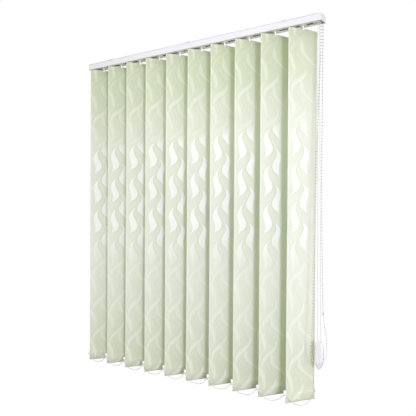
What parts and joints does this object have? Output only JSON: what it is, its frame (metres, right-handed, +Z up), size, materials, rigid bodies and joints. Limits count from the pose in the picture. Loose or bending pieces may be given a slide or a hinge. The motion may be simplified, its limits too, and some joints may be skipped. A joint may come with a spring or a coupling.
{
  "type": "vertical blind",
  "caption": "Wide ceiling-fixed vertical blind: hanging fabric slats turn on hooks and draw to one side under a slotted headrail.",
  "frame": {"origin": "Underside of the ceiling at the screw hole of the middle bracket.", "axes": "+Z up; +X along the headrail towards the end with the controls; -Y into the room, +Y towards the window."},
  "size_m": [1.2186, 0.1242, 1.4429],
  "materials": {
    "white_metal": "satin white paint on an aluminium profile",
    "bare_aluminium": "plain drawn bar",
    "white_plastic": "moulded, soft gloss",
    "carrier_plastic": "moulded, plain",
    "chain_plastic": "small moulded beads on a thread",
    "cord_white": "fine braid",
    "slat_fabric": "stiffened woven cloth, pale green with a woven flame pattern"
  },
  "bodies": {
    "headrail_body": {"headrail": "white_metal", "mounting_brackets": "white_metal", "control_end_cap": "white_plastic", "idle_end_cap": "white_plastic", "carrier_10": "carrier_plastic", "draw_cord": "cord_white", "draw_cord_in_rail": "cord_white", "bead_chain": "chain_plastic", "chain_connector": "chain_plastic", "cord_weight": "white_plastic"},
    "carrier_body_01": {"carrier_01": "carrier_plastic"},
    "carrier_body_02": {"carrier_02": "carrier_plastic"},
    "carrier_body_03": {"carrier_03": "carrier_plastic"},
    "carrier_body_04": {"carrier_04": "carrier_plastic"},
    "carrier_body_05": {"carrier_05": "carrier_plastic"},
    "carrier_body_06": {"carrier_06": "carrier_plastic"},
    "carrier_body_07": {"carrier_07": "carrier_plastic"},
    "carrier_body_08": {"carrier_08": "carrier_plastic"},
    "carrier_body_09": {"carrier_09": "carrier_plastic"},
    "slat_body_01": {"hook_stem_01": "white_plastic", "slat_01": "slat_fabric", "slat_weight_01": "white_plastic"},
    "slat_body_02": {"hook_stem_02": "white_plastic", "slat_02": "slat_fabric", "slat_weight_02": "white_plastic"},
    "slat_body_03": {"hook_stem_03": "white_plastic", "slat_03": "slat_fabric", "slat_weight_03": "white_plastic"},
    "slat_body_04": {"hook_stem_04": "white_plastic", "slat_04": "slat_fabric", "slat_weight_04": "white_plastic"},
    "slat_body_05": {"hook_stem_05": "white_plastic", "slat_05": "slat_fabric", "slat_weight_05": "white_plastic"},
    "slat_body_06": {"hook_stem_06": "white_plastic", "slat_06": "slat_fabric", "slat_weight_06": "white_plastic"},
    "slat_body_07": {"hook_stem_07": "white_plastic", "slat_07": "slat_fabric", "slat_weight_07": "white_plastic"},
    "slat_body_08": {"hook_stem_08": "white_plastic", "slat_08": "slat_fabric", "slat_weight_08": "white_plastic"},
    "slat_body_09": {"hook_stem_09": "white_plastic", "slat_09": "slat_fabric", "slat_weight_09": "white_plastic"},
    "slat_body_10": {"hook_stem_10": "white_plastic", "slat_10": "slat_fabric", "slat_weight_10": "white_plastic", "bottom_chain_end": "chain_plastic"},
    "tilt_drive": {"tilt_rod": "bare_aluminium", "chain_wheel": "white_plastic"},
    "room_side_chain": {"bottom_chain_room_side": "chain_plastic"},
    "window_side_chain": {"bottom_chain_window_side": "chain_plastic"}
  },
  "joints": [
    {"name": "traverse", "type": "slide", "parent": "headrail_body", "child": "carrier_body_01", "axis": [1, 0, 0], "range_m": [0, 0.756], "deforming": ["bottom_chain_room_side", "bottom_chain_window_side"]},
    {"name": "traverse_02", "type": "slide", "parent": "headrail_body", "child": "carrier_body_02", "axis": [1, 0, 0], "range_m": [0, 0.672]},
    {"name": "traverse_03", "type": "slide", "parent": "headrail_body", "child": "carrier_body_03", "axis": [1, 0, 0], "range_m": [0, 0.588]},
    {"name": "traverse_04", "type": "slide", "parent": "headrail_body", "child": "carrier_body_04", "axis": [1, 0, 0], "range_m": [0, 0.504]},
    {"name": "traverse_05", "type": "slide", "parent": "headrail_body", "child": "carrier_body_05", "axis": [1, 0, 0], "range_m": [0, 0.42]},
    {"name": "traverse_06", "type": "slide", "parent": "headrail_body", "child": "carrier_body_06", "axis": [1, 0, 0], "range_m": [0, 0.336]},
    {"name": "traverse_07", "type": "slide", "parent": "headrail_body", "child": "carrier_body_07", "axis": [1, 0, 0], "range_m": [0, 0.252]},
    {"name": "traverse_08", "type": "slide", "parent": "headrail_body", "child": "carrier_body_08", "axis": [1, 0, 0], "range_m": [0, 0.168]},
    {"name": "traverse_09", "type": "slide", "parent": "headrail_body", "child": "carrier_body_09", "axis": [1, 0, 0], "range_m": [0, 0.084]},
    {"name": "tilt", "type": "hinge", "parent": "headrail_body", "child": "slat_body_10", "pos_m": [0.5175, 0, -0.0285], "axis": [0, 0, 1], "range_deg": [-46, 110]},
    {"name": "tilt_01", "type": "hinge", "parent": "carrier_body_01", "child": "slat_body_01", "pos_m": [-0.5175, 0, -0.0285], "axis": [0, 0, 1], "range_deg": [-46, 110]},
    {"name": "tilt_02", "type": "hinge", "parent": "carrier_body_02", "child": "slat_body_02", "pos_m": [-0.4025, 0, -0.0285], "axis": [0, 0, 1], "range_deg": [-46, 110]},
    {"name": "tilt_03", "type": "hinge", "parent": "carrier_body_03", "child": "slat_body_03", "pos_m": [-0.2875, 0, -0.0285], "axis": [0, 0, 1], "range_deg": [-46, 110]},
    {"name": "tilt_04", "type": "hinge", "parent": "carrier_body_04", "child": "slat_body_04", "pos_m": [-0.1725, 0, -0.0285], "axis": [0, 0, 1], "range_deg": [-46, 110]},
    {"name": "tilt_05", "type": "hinge", "parent": "carrier_body_05", "child": "slat_body_05", "pos_m": [-0.0575, 0, -0.0285], "axis": [0, 0, 1], "range_deg": [-46, 110]},
    {"name": "tilt_06", "type": "hinge", "parent": "carrier_body_06", "child": "slat_body_06", "pos_m": [0.0575, 0, -0.0285], "axis": [0, 0, 1], "range_deg": [-46, 110]},
    {"name": "tilt_07", "type": "hinge", "parent": "carrier_body_07", "child": "slat_body_07", "pos_m": [0.1725, 0, -0.0285], "axis": [0, 0, 1], "range_deg": [-46, 110]},
    {"name": "tilt_08", "type": "hinge", "parent": "carrier_body_08", "child": "slat_body_08", "pos_m": [0.2875, 0, -0.0285], "axis": [0, 0, 1], "range_deg": [-46, 110]},
    {"name": "tilt_09", "type": "hinge", "parent": "carrier_body_09", "child": "slat_body_09", "pos_m": [0.4025, 0, -0.0285], "axis": [0, 0, 1], "range_deg": [-46, 110]},
    {"name": "rod_turn", "type": "hinge", "parent": "headrail_body", "child": "tilt_drive", "pos_m": [0, 0.0065, -0.0155], "axis": [1, 0, 0], "range_deg": [-460, 1100]},
    {"name": "room_side_chain_swing", "type": "hinge", "parent": "slat_body_10", "child": "room_side_chain", "pos_m": [0.48162, -0.05741, -1.397], "axis": [0, 0, 1], "range_deg": [-110, 46]},
    {"name": "window_side_chain_swing", "type": "hinge", "parent": "slat_body_10", "child": "window_side_chain", "pos_m": [0.55338, 0.05741, -1.397], "axis": [0, 0, 1], "range_deg": [-110, 46]}
  ],
  "couplings": [
    {"joint": "traverse_02", "follows": "traverse", "ratio": 0.88889},
    {"joint": "traverse_03", "follows": "traverse", "ratio": 0.77778},
    {"joint": "traverse_04", "follows": "traverse", "ratio": 0.66667},
    {"joint": "traverse_05", "follows": "traverse", "ratio": 0.55556},
    {"joint": "traverse_06", "follows": "traverse", "ratio": 0.44444},
    {"joint": "traverse_07", "follows": "traverse", "ratio": 0.33333},
    {"joint": "traverse_08", "follows": "traverse", "ratio": 0.22222},
    {"joint": "traverse_09", "follows": "traverse", "ratio": 0.11111},
    {"joint": "tilt_01", "follows": "tilt", "ratio": 1},
    {"joint": "tilt_02", "follows": "tilt", "ratio": 1},
    {"joint": "tilt_03", "follows": "tilt", "ratio": 1},
    {"joint": "tilt_04", "follows": "tilt", "ratio": 1},
    {"joint": "tilt_05", "follows": "tilt", "ratio": 1},
    {"joint": "tilt_06", "follows": "tilt", "ratio": 1},
    {"joint": "tilt_07", "follows": "tilt", "ratio": 1},
    {"joint": "tilt_08", "follows": "tilt", "ratio": 1},
    {"joint": "tilt_09", "follows": "tilt", "ratio": 1},
    {"joint": "rod_turn", "follows": "tilt", "ratio": 10},
    {"joint": "room_side_chain_swing", "follows": "tilt", "ratio": -1},
    {"joint": "window_side_chain_swing", "follows": "tilt", "ratio": -1}
  ]
}
